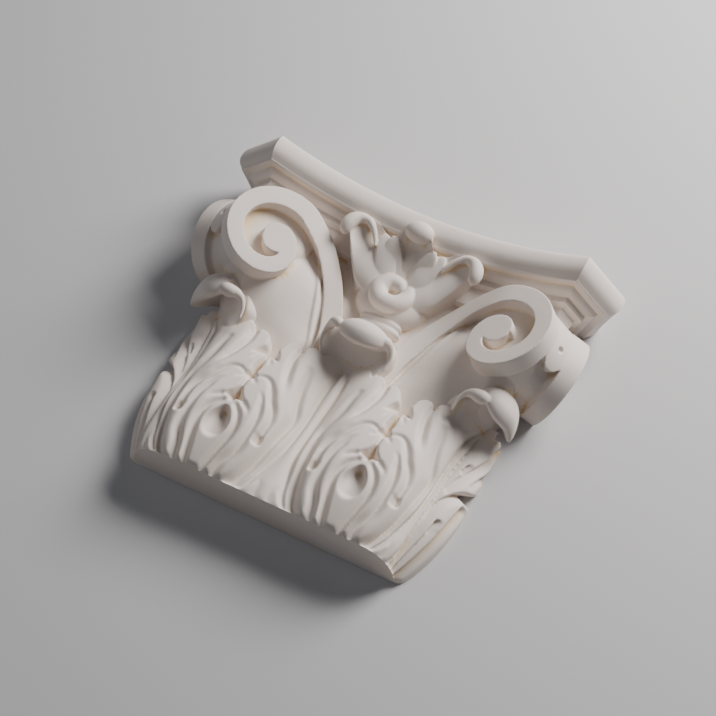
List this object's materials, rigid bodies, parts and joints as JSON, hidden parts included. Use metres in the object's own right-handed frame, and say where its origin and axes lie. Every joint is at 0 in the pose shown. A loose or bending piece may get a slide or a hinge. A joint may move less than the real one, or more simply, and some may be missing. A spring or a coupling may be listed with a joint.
{
  "type": "pilaster capital",
  "caption": "Half corinthian capital for a flat pilaster, with acanthus leaves, corner scrolls and a flower under a hollow-sided abacus.",
  "frame": {"origin": "middle of the flat back, halfway between the neck's cut face and the abacus's top face", "axes": "+X across the capital, +Y from the neck up to the abacus, +Z out of the flat back; the part lies on its back"},
  "size_m": [0.2962, 0.248, 0.066],
  "materials": {
    "plaster": "matt cream-white cast plaster"
  },
  "bodies": {
    "root": {"capital": "plaster"}
  },
  "joints": []
}
